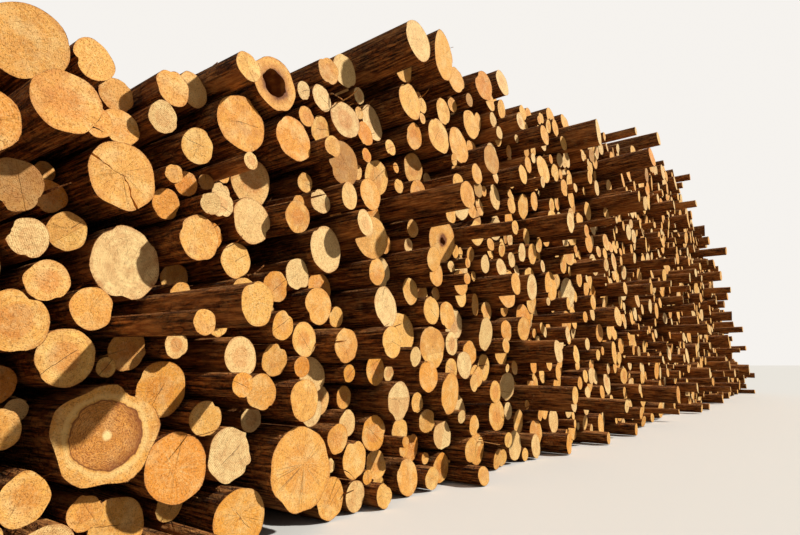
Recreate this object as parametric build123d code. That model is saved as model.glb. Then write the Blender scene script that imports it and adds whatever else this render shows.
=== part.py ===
"""A long stack of roundwood logs of mixed sizes, piled by hand and crane with their ends to the front.

Millimetres, X along the stack, Y from the front face to the back, Z up from the level ground.
The logs of one bay of the stack share a file, and no log touches another: contact_gap is left where one
rests on the next. A few logs with a form of their own have a file each.
"""

import math
import os
import random

import numpy as np
from build123d import *

# Logs
log_length = 4200.0
length_spread = 150.0
smallest_diameter = 110.0
usual_diameter = 268.0
largest_diameter = 520.0
diameter_spread = 0.34
taper_per_metre = 9.0
contact_gap = 0.4

# How evenly the logs lie
end_scatter = 145.0
long_share = 0.07
longest_reach = 850.0
sideways_drift = 60.0
rise_drift = 25.0
largest_drift = 170.0

# Outline of the stack, as the height of its top at places along it
left_foot = -2300.0
left_shoulder = 150.0
near_height = 3450.0
dip_at = 2150.0
dip_height = 3350.0
mid_height = 4850.0
mid_at = 5000.0
crown_at = 19500.0
crown_height = 6650.0
right_shoulder = 24500.0
shoulder_height = 5000.0
right_foot = 31500.0
toe_height = 260.0

# Ends that rot, splits and felling have shaped
rot_bore_diameter = 250.0
rot_bore_depth = 750.0
heart_bore_diameter = 90.0
heart_bore_depth = 320.0
crack_width = 14.0
crack_depth = 600.0
felling_step = 45.0
flute_diameter = 150.0
flute_length = 1300.0
flute_bite = 28.0
butt_flutes = 5
waist_bite = 34.0

# Share of the outline that solid wood fills before the logs settle
solid_share = 0.815
bay_width = 1500.0
seed = 11

CREST = [
    (left_foot, toe_height),
    (left_shoulder, near_height),
    (dip_at, dip_height),
    (mid_at, mid_height),
    (crown_at, crown_height),
    (right_shoulder, shoulder_height),
    (right_foot, toe_height),
]

# Logs with a form and a file of their own: along, up, diameter and how far the front end stands out
NAMED = {
    "cracked_log": (1790, 2460, 450, 80),
    "lobed_butt_log": (1790, 870, 640, 120),
    "giant_butt_log": (3360, 530, 700, 150),
    "hollow_log": (2900, 3640, 480, 90),
    "torn_log": (2650, 740, 430, 60),
    "double_heart_log": (5610, 500, 340, 60),
    "rotten_heart_log": (5670, 2560, 520, 60),
    "crown_log": (5100, 4450, 560, 350),
    "far_reaching_log": (12100, 4700, 420, 1000),
}

# More logs with a place of their own, in the same order of sizes
PLACED = [
    (1180, 3100, 460, 60), (1520, 3250, 270, 40), (1820, 3060, 240, 0), (2060, 3130, 260, 30),
    (1750, 2800, 250, -60), (2010, 2880, 220, 0), (1240, 2280, 290, 0), (1700, 2030, 230, 0),
    (1500, 2200, 200, 0), (2100, 2330, 210, 20), (1400, 1850, 250, 0), (1370, 590, 290, 0),
    (1840, 1940, 490, -40), (1700, 1620, 260, 50), (1250, 1490, 350, 0), (1490, 1330, 330, 60),
    (2030, 1410, 270, 0), (2370, 1610, 200, 30), (1240, 1150, 210, 0), (1200, 900, 200, 0),
    (2240, 620, 450, 60), (2220, 1120, 380, -120), (1500, 300, 340, 90), (2810, 230, 420, 0),
    (3730, 190, 350, 40), (4070, 160, 270, 30), (4070, 510, 340, 60), (3600, 860, 260, -40),
    (3260, 1060, 320, 0), (2890, 1070, 270, 0), (2640, 1140, 240, 30), (3590, 1140, 300, 0),
    (3140, 1310, 250, 40), (4130, 800, 240, 0), (4180, 1310, 290, 0), (4430, 1090, 300, 30),
    (5380, 1430, 480, 60), (4520, 350, 280, 0), (5190, 410, 300, 0), (3490, 4150, 250, 120),
    (3830, 4050, 340, 60), (2730, 3080, 470, 30), (2970, 2780, 410, 0), (2460, 3180, 270, -120),
    (3640, 3430, 260, 0), (3800, 3560, 370, 60), (4200, 3440, 260, 0), (3840, 3010, 430, 60),
    (2860, 2450, 370, 30), (2450, 2240, 200, 0), (2710, 2090, 270, 0), (3120, 2110, 250, 0),
    (3720, 2260, 420, 60), (4300, 2780, 320, 0), (2610, 1800, 240, 0), (3490, 1860, 330, 0),
    (3830, 1880, 320, 0), (2740, 1530, 300, 0), (3460, 1530, 290, 30), (4660, 2720, 340, 0),
    (4370, 2430, 460, 60), (4530, 2110, 300, 0), (6890, 3360, 360, 60), (7850, 3320, 380, 0),
    (8770, 2310, 480, 60), (9670, 2160, 520, 0), (7220, 1930, 450, 60), (8590, 4040, 460, 90),
    (6170, 4060, 400, 60), (5350, 3440, 380, 0), (4950, 3620, 300, 60),
]


def crest_at(x):
    """Height of the outline and its slope at x."""
    for (x0, z0), (x1, z1) in zip(CREST, CREST[1:]):
        if x < x1 or x1 == CREST[-1][0]:
            slope = (z1 - z0) / (x1 - x0)
            return z0 + slope * (x - x0), slope


class Log:
    """A tapered log, by its centre and radius in the plane y = 0 and in the plane y = log_length."""

    def __init__(self, front, front_radius, back, back_radius, start, end, name=""):
        self.xf, self.zf = front
        self.xb, self.zb = back
        self.rf, self.rb = front_radius, back_radius
        self.start, self.end, self.name = start, end, name

    def at(self, y):
        t = y / log_length
        return (
            self.xf + (self.xb - self.xf) * t,
            self.zf + (self.zb - self.zf) * t,
            self.rf + (self.rb - self.rf) * t,
        )

    def shift(self, dx, dz):
        self.xf, self.xb = self.xf + dx, self.xb + dx
        self.zf, self.zb = self.zf + dz, self.zb + dz

    def tilt_allowance(self):
        lean = math.hypot(self.xb - self.xf, self.zb - self.zf) / log_length
        return 1 + lean * lean / 2

    def straighten(self, limit):
        """Turns the log about its middle until its ends differ by no more than the limit."""
        lean = math.hypot(self.xb - self.xf, self.zb - self.zf)
        if lean > limit:
            share = (1 - limit / lean) / 2
            dx, dz = (self.xb - self.xf) * share, (self.zb - self.zf) * share
            self.xf, self.xb = self.xf + dx, self.xb - dx
            self.zf, self.zb = self.zf + dz, self.zb - dz

    def lowest(self):
        return min(z - r for _, z, r in (self.at(self.start), self.at(self.end)))

    def solid(self):
        x0, z0, r0 = self.at(self.start)
        x1, z1, r1 = self.at(self.end)
        base = Vector(x0, self.start, z0)
        way = Vector(x1, self.end, z1) - base
        cone = Cone(r0, r1, way.length, align=(Align.CENTER, Align.CENTER, Align.MIN))
        return Plane(origin=base, z_dir=way) * cone


def clearance(a, b):
    """Least distance between two logs' sides over the length that they share."""
    low, high = max(a.start, b.start), min(a.end, b.end)
    px, pz = a.xf - b.xf, a.zf - b.zf
    qx, qz = (a.xb - b.xb - px) / log_length, (a.zb - b.zb - pz) / log_length
    ka, kb = a.tilt_allowance(), b.tilt_allowance()
    sum_front = a.rf * ka + b.rf * kb
    growth = (a.rb * ka + b.rb * kb - sum_front) / log_length
    stations = [low, high]
    qq = qx * qx + qz * qz
    if qq > growth * growth:
        nearest = -(px * qx + pz * qz) / qq
        least = math.hypot(px + qx * nearest, pz + qz * nearest)
        y = nearest + growth * least / math.sqrt(qq * (qq - growth * growth))
        if low < y < high:
            stations.append(y)
    return min(math.hypot(px + qx * y, pz + qz * y) - sum_front - growth * y for y in stations)


def draw_diameter(rng):
    while True:
        diameter = rng.lognormvariate(math.log(usual_diameter), diameter_spread)
        if smallest_diameter < diameter < largest_diameter:
            return diameter


def lay_out(rng):
    """Logs on a loose grid under the outline, round the ones with a place of their own."""
    rows = []
    names = list(NAMED) + [None] * len(PLACED)
    for name, (along, up, diameter, reach) in zip(names, [*NAMED.values(), *PLACED]):
        reach = reach or rng.gauss(0, end_scatter)
        rows.append((along, up, diameter / 2, -reach, name or "placed"))
    placed = len(rows)
    sample = [draw_diameter(rng) for _ in range(400)]
    area = sum(math.pi * d * d / 4 for d in sample) / len(sample)
    step = math.sqrt(area / solid_share / (math.sqrt(3) / 2))

    def add(x, z, radius):
        reach = rng.gauss(0, end_scatter)
        if rng.random() < long_share:
            reach += rng.uniform(0.3, 1.0) * longest_reach
        rows.append((x, z, radius, -reach, ""))

    layer, z = 0, step / 2
    while z < crown_height:
        x = left_foot + (step / 2 if layer % 2 else 0)
        while x < right_foot:
            free = all(math.hypot(x - p[0], z - p[1]) > p[2] + step * 0.45 for p in rows[:placed])
            if z + step * 0.4 < crest_at(x)[0] and free:
                jitter = step * 0.2
                aside, up = rng.uniform(-jitter, jitter), rng.uniform(-jitter, jitter)
                add(x + aside, z + up, draw_diameter(rng) / 2)
            x += step
        z += step * math.sqrt(3) / 2
        layer += 1
    left, right = min(p[0] for p in PLACED) - step, max(p[0] for p in PLACED) + step
    for _ in range(9000):
        x, z = rng.uniform(left, right), rng.uniform(0, crown_height)
        radius = draw_diameter(rng) / 2
        if z + radius > crest_at(x)[0] or z < radius * 0.7:
            continue
        near = [p for p in rows if abs(p[0] - x) < 600]
        if all(math.hypot(x - p[0], z - p[1]) > p[2] + radius * 0.68 for p in near):
            add(x, z, radius)
    return rows


def spread_out(rows, rng):
    """Moves the logs' ends apart until hardly any overlap, within the outline."""
    n = len(rows)
    lean = taper_per_metre * log_length / 1000 / 4
    radius = np.array([r[2] for r in rows])
    way = np.array([1 if r[4] or rng.random() < 0.5 else -1 for r in rows])
    radii = np.stack([radius + way * lean, radius - way * lean], 1)
    drift = np.array([(rng.gauss(0, sideways_drift), rng.gauss(0, rise_drift)) for _ in rows])
    middle = np.array([r[:2] for r in rows], float)
    target = np.stack([middle, middle], 1)
    target[:, 1] += drift
    ends = target.copy()
    pinned = np.array([bool(r[4]) for r in rows])
    weight = np.where(pinned, 0.05, 1.0)
    xs = np.array([p[0] for p in CREST])
    zs = np.array([p[1] for p in CREST])
    slopes = np.diff(zs) / np.diff(xs)
    shares = ((1.0, 0.0), (0.5, 0.5), (0.0, 1.0))
    for turn in range(700):
        if turn % 20 == 0:
            centre = ends.mean(1)
            order = np.argsort(centre[:, 0])
            cx, cz, cr = centre[order, 0], centre[order, 1], radius[order]
            reach = 2 * cr.max() + 260
            last = np.searchsorted(cx, cx + reach)
            first_of = np.repeat(np.arange(n), last - np.arange(n) - 1)
            offset = np.arange(len(first_of)) - np.repeat(
                np.cumsum(last - np.arange(n) - 1) - (last - np.arange(n) - 1), last - np.arange(n) - 1)
            second_of = first_of + 1 + offset
            close = np.hypot(cx[first_of] - cx[second_of], cz[first_of] - cz[second_of])
            keep = close < cr[first_of] + cr[second_of] + 130
            i, j = order[first_of[keep]], order[second_of[keep]]
        fall = 0.8 if turn < 400 else 0.0
        ends[:, :, 1] -= fall * weight[:, None]
        move = np.zeros_like(ends)
        for a, b in shares:
            at = ends[:, 0] * a + ends[:, 1] * b
            rad = radii[:, 0] * a + radii[:, 1] * b
            apart = at[j] - at[i]
            length = np.maximum(np.hypot(apart[:, 0], apart[:, 1]), 1e-6)
            deep = np.maximum(rad[i] + rad[j] + contact_gap - length, 0)
            push = apart / length[:, None] * (deep / (weight[i] + weight[j]))[:, None] * 0.35
            whole = a * a + b * b
            for k, part in ((0, a), (1, b)):
                if part:
                    for axis in (0, 1):
                        pushed = push[:, axis] * part / whole
                        move[:, k, axis] -= np.bincount(i, pushed * weight[i], n)
                        move[:, k, axis] += np.bincount(j, pushed * weight[j], n)
        ends += move
        if turn < 450:
            ends += (target - ends) * np.where(pinned, 0.06, 0.0)[:, None, None]
        else:
            weight[:] = 1.0
        for k in (0, 1):
            x, z = ends[:, k, 0], ends[:, k, 1]
            piece = np.clip(np.searchsorted(xs, x) - 1, 0, len(slopes) - 1)
            slope = slopes[piece]
            flat = 1 / np.sqrt(1 + slope * slope)
            over = radii[:, k] - (zs[piece] + slope * (x - xs[piece]) - z) * flat
            over = np.maximum(over, 0) * 0.5
            ends[:, k, 0] += over * slope * flat
            ends[:, k, 1] -= over * flat
            ends[:, k, 1] = np.maximum(ends[:, k, 1], radii[:, k])
    return ends, radii


def settle(logs):
    """Seats each log on those below it, lowest first, sinking and rolling it until nothing gives."""
    done, cells = [], {}
    cell = largest_diameter + 2 * largest_drift
    moves = []
    for front, back in ((1, 1), (1, 0), (0, 1)):
        for dx, dz in ((0, -1), (-0.7, -0.7), (0.7, -0.7)):
            moves.append((dx * front, dz * front, dx * back, dz * back))
    for log in sorted(logs, key=lambda g: g.zf + g.zb):
        near = []

        def look_round():
            home = int((log.xf + log.xb) / 2 // cell)
            reach = max(log.rf, log.rb) + largest_drift + 200
            near[:] = [
                g for k in (home - 1, home, home + 1) for g in cells.get(k, ())
                if math.hypot(g.xf - log.xf, g.zf - log.zf) < reach + max(g.rf, g.rb)
            ]
            return log.xf, log.zf

        def free():
            if log.lowest() < 0:
                return False
            if math.hypot(log.xb - log.xf, log.zb - log.zf) > largest_drift:
                return False
            return all(clearance(log, g) >= contact_gap for g in near)

        log.straighten(largest_drift * 0.9)
        log.zf, log.zb = max(log.zf, log.rf + 12), max(log.zb, log.rb + 12)
        seen = look_round()
        place = log.xf, log.zf, log.xb, log.zb
        for _ in range(60):
            tight = [(clearance(log, g), g) for g in near]
            tight = [(gap, g) for gap, g in tight if gap < contact_gap]
            if not tight or math.hypot(log.xf - seen[0], log.zf - seen[1]) > 80:
                break
            for gap, g in tight:
                dx, dz = log.xf + log.xb - g.xf - g.xb, log.zf + log.zb - g.zf - g.zb
                push = (contact_gap * 1.1 - gap) / math.hypot(dx, dz)
                log.shift(dx * push, dz * push)
            log.shift(0, max(0, -log.lowest()))
        if not free():
            log.xf, log.zf, log.xb, log.zb = place
        seen = look_round()
        while not free():
            log.shift(0, 2)
            if log.zf > seen[1] + 60:
                seen = look_round()
        step = 40.0
        while step > 0.04:
            moved = False
            if math.hypot(log.xf - seen[0], log.zf - seen[1]) > 60:
                seen = look_round()
            for move in moves:
                kept = log.xf, log.zf, log.xb, log.zb
                log.xf += move[0] * step
                log.zf += move[1] * step
                log.xb += move[2] * step
                log.zb += move[3] * step
                if free():
                    moved = True
                else:
                    log.xf, log.zf, log.xb, log.zb = kept
            if not moved or step < 1:
                step /= 2
        cells.setdefault(int((log.xf + log.xb) / 2 // cell), []).append(log)
        done.append(log)
    return done


def touching_groups(logs):
    """The logs in groups that lie against each other, largest group first."""
    order = sorted(logs, key=lambda g: g.xf)
    group = {id(g): [g] for g in logs}
    reach = largest_placed() + 2 * largest_drift
    for k, a in enumerate(order):
        for b in order[k + 1:]:
            if b.xf - a.xf > reach:
                break
            first, second = group[id(a)], group[id(b)]
            if first is not second and clearance(a, b) < contact_gap + 0.3:
                first.extend(second)
                for g in second:
                    group[id(g)] = first
    return sorted({id(g): g for g in group.values()}.values(), key=len, reverse=True)


def largest_placed():
    return max(largest_diameter, *(row[2] for row in (*NAMED.values(), *PLACED)))


def close_up(logs):
    """Slides logs that lie apart on the ground sideways until they meet the rest."""
    for group in touching_groups(logs)[1:]:
        rest = [g for g in logs if g not in group]
        reach = largest_placed() + 2 * largest_drift

        def least():
            pairs = [(a, b) for a in group for b in rest if abs(a.xf - b.xf) < reach]
            return min((clearance(a, b) for a, b in pairs), default=reach)

        tries = []
        for way in (-1, 1):
            step, travel = 20.0, 0.0
            while step > 0.04 and travel < reach:
                for log in group:
                    log.shift(way * step, 0)
                if least() >= contact_gap:
                    travel += step
                else:
                    for log in group:
                        log.shift(-way * step, 0)
                    step /= 2
            for log in group:
                log.shift(-way * travel, 0)
            tries.append((travel, way))
        travel, way = min(tries)
        for log in group:
            log.shift(way * travel, 0)


def pile():
    rng = random.Random(seed)
    rows = lay_out(rng)
    ends, radii = spread_out(rows, rng)
    logs = []
    for row, (front, back), (front_radius, back_radius) in zip(rows, ends.tolist(), radii.tolist()):
        length = log_length + rng.uniform(-length_spread, length_spread)
        logs.append(Log(front, front_radius, back, back_radius, row[3], row[3] + length, row[4]))
    logs = settle(logs)
    close_up(logs)
    return logs


def end_frame(log):
    """Plane of the log's front end, with its z axis into the wood and its y axis up the end."""
    base = Vector(log.at(log.start)[0], log.start, log.at(log.start)[1])
    way = Vector(log.at(log.end)[0], log.end, log.at(log.end)[1]) - base
    across = way.cross(Vector(0, 0, 1))
    return Plane(origin=base, x_dir=across, z_dir=way)


def flutes(log, count, bite, length, first_angle=90.0):
    """Grooves along the side that start at the front end and run out of the wood."""
    radius = log.at(log.start)[2]
    centre = radius + flute_diameter / 2 - bite
    lean = math.degrees(math.atan2(bite, length))
    cutters = []
    for k in range(count):
        cutter = Pos(centre, 0, -1) * Rotation(0, lean, 0) * Cylinder(
            flute_diameter / 2, length + 2, align=(Align.CENTER, Align.CENTER, Align.MIN))
        cutters.append(Rotation(0, 0, first_angle + 360 * k / count) * cutter)
    return cutters


def rot_bore(diameter, depth, aside=0.0):
    """A tapering pocket that rot has eaten into the heart from the front end."""
    bore = Cone(diameter / 2, diameter / 5, depth + 1, align=(Align.CENTER, Align.CENTER, Align.MIN))
    return Pos(aside, aside / 2, -1) * bore


def crack(log, angle):
    """A drying crack, a thin wedge from beside the heart out through the side, narrowing inwards."""
    radius = log.at(log.start)[2]
    outline = Polyline(
        (crack_width, 0), (radius * 1.1, -crack_width / 2), (radius * 1.1, crack_width / 2), close=True)
    wedge = extrude(make_face(outline), crack_depth)
    return Rotation(0, 0, angle) * Pos(0, 0, -1) * wedge


def shaped(log):
    """A log's solid with the form of its front end, where it has one of its own."""
    solid = log.solid()
    radius = log.at(log.start)[2]
    cutters = {
        "lobed_butt_log": lambda: flutes(log, butt_flutes, flute_bite, flute_length),
        "hollow_log": lambda: [rot_bore(rot_bore_diameter, rot_bore_depth)],
        "rotten_heart_log": lambda: [
            rot_bore(heart_bore_diameter, heart_bore_depth),
            rot_bore(heart_bore_diameter * 0.8, heart_bore_depth * 0.8, heart_bore_diameter * 0.4),
        ],
        "cracked_log": lambda: [crack(log, 61), crack(log, 203)],
        "torn_log": lambda: [Pos(radius, 0, -1) * Box(
            radius, 3 * radius, felling_step + 1, align=(Align.CENTER, Align.CENTER, Align.MIN))],
        "double_heart_log": lambda: flutes(log, 2, waist_bite, log_length * 0.9, 80.0),
    }.get(log.name, list)()
    for cutter in cutters:
        solid = solid - end_frame(log) * cutter
    return solid


def middle_of(logs):
    """Centre of the stack's box along and across it, and the height of its lowest point."""
    low, high = [math.inf] * 3, [-math.inf] * 3
    for log in logs:
        x0, z0, _ = log.at(log.start)
        x1, z1, _ = log.at(log.end)
        way = (x1 - x0, log.end - log.start, z1 - z0)
        length = math.hypot(*way)
        for y in (log.start, log.end):
            x, z, r = log.at(y)
            for axis, value in enumerate((x, y, z)):
                spread = r * math.sqrt(1 - (way[axis] / length) ** 2)
                low[axis] = min(low[axis], value - spread)
                high[axis] = max(high[axis], value + spread)
    return (low[0] + high[0]) / 2, (low[1] + high[1]) / 2, low[2]


def main():
    logs = pile()
    x, y, z = middle_of(logs)
    to_origin = Location((-x, -y, -z))
    nodes = {}
    for log in sorted(logs, key=lambda g: g.xf + g.xb):
        bay = math.floor(((log.xf + log.xb) / 2 - left_foot) / bay_width) + 1
        name = log.name if log.name in NAMED else f"bay_{max(bay, 1):02d}_logs"
        nodes.setdefault(name, []).append(to_origin * shaped(log))
    os.makedirs("parts", exist_ok=True)
    for name, solids in sorted(nodes.items()):
        export_step(solids[0] if len(solids) == 1 else Compound(children=solids), f"parts/{name}.step")
        print(name, len(solids), "logs")
    print(len(logs), "logs in all")


main()
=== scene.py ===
# %% [markdown]
# # A stack of logs
#
# The real object is a long pile of roundwood. Every log shows a sawn end of warm, pale wood inside a dark
# ring of bark, and the gaps between the logs are nearly black. The construction model holds each log as a
# plain tapered solid. This lesson dresses them: a few logs are modelled, then copied onto every
# solid of the stack with a shape, a colour and a grain of its own.

# %% Load the frame
import math
import random

import bpy
import numpy as np
from mathutils import Matrix


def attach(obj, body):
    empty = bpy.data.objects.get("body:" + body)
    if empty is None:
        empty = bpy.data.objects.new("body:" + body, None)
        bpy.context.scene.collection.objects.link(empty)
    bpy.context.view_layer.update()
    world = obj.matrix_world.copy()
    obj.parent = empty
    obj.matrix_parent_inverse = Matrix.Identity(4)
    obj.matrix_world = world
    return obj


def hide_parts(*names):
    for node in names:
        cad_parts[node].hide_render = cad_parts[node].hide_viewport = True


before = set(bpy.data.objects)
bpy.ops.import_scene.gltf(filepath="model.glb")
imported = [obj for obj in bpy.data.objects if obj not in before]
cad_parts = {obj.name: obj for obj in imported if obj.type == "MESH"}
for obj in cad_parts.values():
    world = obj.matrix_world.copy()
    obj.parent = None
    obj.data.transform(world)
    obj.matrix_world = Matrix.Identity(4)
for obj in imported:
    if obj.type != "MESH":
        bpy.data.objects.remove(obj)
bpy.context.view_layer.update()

# %% [markdown]
# The camera stands in front of the left end and looks along the stack, so the logs at that end fill the
# picture and the others shrink towards the far toe. Logs near the camera get a finer mesh than the far
# ones, in three grades, because a mesh as fine everywhere would cost millions of faces that no one sees.
# The finest grade also leaves out the logs further left than the camera's view starts.

# %% Place of the camera
CAMERA_AT = np.array((-14.522, -5.413, 1.300))
CAMERA_HEADING = math.radians(36.5 - 90)
CAMERA_PITCH = math.radians(90 + 9.475)
CAMERA_LENS = 26.0
CAMERA_RANGE = 500
CLOSE_REACH = 6.0
NEAR_REACH = 10.5
VIEW_STARTS = 0.8


def grade_of(front, distance):
    """The grade of model for a log, from the place of its front end and how far off that is."""
    if distance < CLOSE_REACH and front[0] > CAMERA_AT[0] + VIEW_STARTS:
        return "close"
    return "near" if distance < NEAR_REACH else "far"


print("close logs within", CLOSE_REACH, "m of the camera, near ones within", NEAR_REACH, "m")

# %% [markdown]
# A node of the construction model holds many logs in one mesh, as loose triangles. Corners at one place are
# merged by number, and each corner then takes the lowest number that reaches it across the triangles, so
# that all corners of one log end up with one number. The corners at a log's two ends give its axis, length
# and radii. The pile's numbers could be copied into this script instead, but then a changed pile would no
# longer match.

# %% Tell the logs of a node apart
MERGE_WITHIN = 1e-5


def read_all(items, field, kind, each=1):
    """One field of all items of a mesh as an array, with so many numbers each."""
    values = np.empty(len(items) * each, kind)
    items.foreach_get(field, values)
    return values


def mesh_arrays(mesh):
    """Corner places and triangles of a mesh, with corners at one place merged."""
    places = read_all(mesh.vertices, "co", np.float32, 3).reshape(-1, 3)
    corners = read_all(mesh.loops, "vertex_index", np.int32)
    rounded = np.round(places / MERGE_WITHIN).astype(np.int64)
    _, first, merged = np.unique(rounded, axis=0, return_index=True, return_inverse=True)
    return places[first].astype(float), merged.ravel()[corners].reshape(-1, 3)


def islands(places, triangles):
    """A number for each corner, the same for all corners of one loose shell."""
    label = np.arange(len(places))
    while True:
        lowest = label[triangles].min(1)
        before = label.copy()
        for side in range(3):
            np.minimum.at(label, triangles[:, side], lowest)
        label = label[label]
        if (label == before).all():
            return label


# %% Measure the logs
END_DEPTH = 0.05


def read_logs(mesh):
    """Front centre, front radius, back centre and back radius of each log in a mesh."""
    places, triangles = mesh_arrays(mesh)
    label = islands(places, triangles)
    order = np.argsort(label, kind="stable")
    groups = np.split(places[order], np.flatnonzero(np.diff(label[order])) + 1)
    logs = []
    for group in groups:
        log = []
        front, back = group[:, 1].min(), group[:, 1].max()
        for disc in (group[group[:, 1] < front + END_DEPTH], group[group[:, 1] > back - END_DEPTH]):
            low, high = disc.min(0), disc.max(0)
            log += [(low + high) / 2, (high[0] - low[0]) / 2]
        logs.append(log)
    return logs


logs_of = {name: read_logs(node.data) for name, node in sorted(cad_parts.items())}
print("logs", sum(map(len, logs_of.values())))

# %% [markdown]
# A log starts as a cylinder one unit long and one unit in radius. The two ends are inset to leave the ring
# of bark, the front one is inset again towards the heart, and the side is bisected across, close together
# near the ends, where bark frays, and far apart in the middle. A Displace modifier then makes the bark
# uneven. Cutting by bisect keeps the long quads whole, which subdividing all over would not.


# %% Helpers for edit mode
def only(thing):
    """Makes a thing the only selected and active object."""
    bpy.ops.object.select_all(action="DESELECT")
    thing.select_set(True)
    bpy.context.view_layer.objects.active = thing


def pick_faces(thing, wanted):
    """Selects the faces for which wanted(face) holds, and goes into edit mode."""
    bpy.ops.object.mode_set(mode="OBJECT")
    for item in (*thing.data.vertices, *thing.data.edges):
        item.select = False
    for face in thing.data.polygons:
        face.select = bool(wanted(face))
    bpy.ops.object.mode_set(mode="EDIT")
    bpy.ops.mesh.select_mode(type="FACE")


def cut_across(stations, axis=(0, 1, 0)):
    """Cuts the active thing right through at places along an axis, and leaves it in edit mode."""
    bpy.ops.object.mode_set(mode="EDIT")
    for station in stations:
        bpy.ops.mesh.select_all(action="SELECT")
        bpy.ops.mesh.bisect(plane_co=[station * part for part in axis], plane_no=axis)


def lay_down(thing):
    """Turns a new thing that stands on its axis so that it lies along Y, from nought to one."""
    thing.rotation_euler = (math.radians(-90), 0, 0)
    thing.location = (0, 0.5, 0)
    bpy.ops.object.transform_apply(location=True, rotation=True, scale=True)


# %% Model one log
BARK_RING = 0.034
BARK_CLOUDS = 0.33
BARK_DEPTH = 0.07
CLOUD_SHIFT = 7.3


def on_end(face):
    """Whether a face is on one of a log's two ends."""
    return abs(face.normal.y) > 0.9


def fray(log, seed):
    """Makes the bark uneven, from clouds of its own, and keeps each corner's place along the log."""
    clouds = bpy.data.textures.new(log.name + "_bark", "CLOUDS")
    clouds.noise_scale = BARK_CLOUDS
    uneven = log.modifiers.new("uneven", "DISPLACE")
    uneven.texture = clouds
    uneven.strength = BARK_DEPTH
    uneven.mid_level = 1.0
    uneven.texture_coords = "LOCAL"
    stations = [corner.co.y for corner in log.data.vertices]
    log.data.transform(Matrix.Translation((0, seed * CLOUD_SHIFT, 0)))
    bpy.ops.object.modifier_apply(modifier="uneven")
    for corner, station in zip(log.data.vertices, stations):
        corner.co.y = station


def model_log(name, around, cuts, insets, seed):
    """A log of radius one and length one along Y, its bark and its wood told apart by material index."""
    bpy.ops.object.select_all(action="DESELECT")
    bpy.ops.mesh.primitive_cylinder_add(vertices=around, radius=1, depth=1, end_fill_type="NGON")
    log = bpy.context.object
    log.name = name
    lay_down(log)
    cut_across(cuts)
    pick_faces(log, on_end)
    bpy.ops.mesh.inset(thickness=BARK_RING, use_even_offset=False)
    bpy.ops.object.mode_set(mode="OBJECT")
    for face in log.data.polygons:
        face.material_index = int(on_end(face) and len(face.vertices) > 4)
    pick_faces(log, lambda face: face.material_index and face.center.y < 0.5)
    for inset in insets:
        bpy.ops.mesh.inset(thickness=inset, use_even_offset=False)
    bpy.ops.mesh.poke()
    pick_faces(log, lambda face: len(face.vertices) > 4)
    bpy.ops.mesh.poke()
    bpy.ops.object.mode_set(mode="OBJECT")
    fray(log, seed)
    return log


# %% [markdown]
# Felling and stacking leave strips of bark, splinters and broken twigs that hang loose. They could be torn
# out of a log's own mesh, but a few loose ribbons can be used on any log. A strip is a narrow grid with a
# thickness from a Solidify modifier, drawn in to ragged widths and curled across as it dries. A twig is a
# thin cone, bisected into short lengths and bent.

# %% Model a strip and a twig
STRIP_PARTS = 10
STRIP_THICKNESS = 0.16
STRIP_CURL = 0.5
TWIG_PARTS = 8
TWIG_WAVES = 5


def model_strip(name, seed):
    """A ragged ribbon of bark, one long along Y and about one wide, that narrows towards its tip."""
    bpy.ops.object.select_all(action="DESELECT")
    bpy.ops.mesh.primitive_grid_add(x_subdivisions=2, y_subdivisions=STRIP_PARTS, size=1)
    strip = bpy.context.object
    strip.name = name
    strip.location = (0, 0.5, 0)
    bpy.ops.object.transform_apply(location=True)
    thickness = strip.modifiers.new("thickness", "SOLIDIFY")
    thickness.thickness = STRIP_THICKNESS
    bpy.ops.object.modifier_apply(modifier="thickness")
    shape = random.Random(seed)
    ragged = {}
    for part in range(STRIP_PARTS + 1):
        station = part / STRIP_PARTS
        ragged[round(station, 1)] = shape.uniform(0.55, 1.15) * (1.05 - station) ** 0.6
    for corner in strip.data.vertices:
        corner.co.x *= ragged[round(corner.co.y, 1)]
        corner.co.z += STRIP_CURL * corner.co.x * corner.co.x
    return strip


def model_twig(name, seed):
    """A broken twig, one long along Y and about one thick, with two long bends in it."""
    bpy.ops.object.select_all(action="DESELECT")
    bpy.ops.mesh.primitive_cone_add(vertices=6, radius1=0.5, radius2=0.22, depth=1)
    twig = bpy.context.object
    twig.name = name
    lay_down(twig)
    cut_across([part / TWIG_PARTS for part in range(1, TWIG_PARTS)])
    bpy.ops.object.mode_set(mode="OBJECT")
    shape = random.Random(seed)
    bends = [(shape.uniform(0.3, 1.0), shape.uniform(0, 6)) for _ in range(2)]
    for corner in twig.data.vertices:
        for size, phase in bends:
            corner.co.x += size * (math.sin(corner.co.y * TWIG_WAVES + phase) - math.sin(phase))
    return twig


# %% Make the models
CLOSE_CUTS = (0.003, 0.01, 0.03, 0.06, 0.1, 0.16, 0.25, 0.37, 0.52, 0.7, 0.9, 0.99)
NEAR_CUTS = (0.004, 0.02, 0.06, 0.13, 0.25, 0.45, 0.7, 0.94, 0.99)
FAR_CUTS = (0.03, 0.4, 0.97)
GRADES = {
    "close": {"count": 5, "around": 44, "cuts": CLOSE_CUTS, "insets": (0.2, 0.3), "seed": 20},
    "near": {"count": 5, "around": 28, "cuts": NEAR_CUTS, "insets": (0.25, 0.3), "seed": 0},
    "far": {"count": 4, "around": 13, "cuts": FAR_CUTS, "insets": (), "seed": 9},
}

modelled = {
    grade: [
        model_log(f"{grade}_log_{k}", how["around"], how["cuts"], how["insets"], how["seed"] + k)
        for k in range(how["count"])
    ]
    for grade, how in GRADES.items()
}
modelled["loose"] = [model_strip(f"strip_{k}", k) for k in range(3)] + [model_twig("twig", 5)]
for kind, things in modelled.items():
    print(kind, len(things), "models with", len(things[0].data.polygons), "faces")

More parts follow.
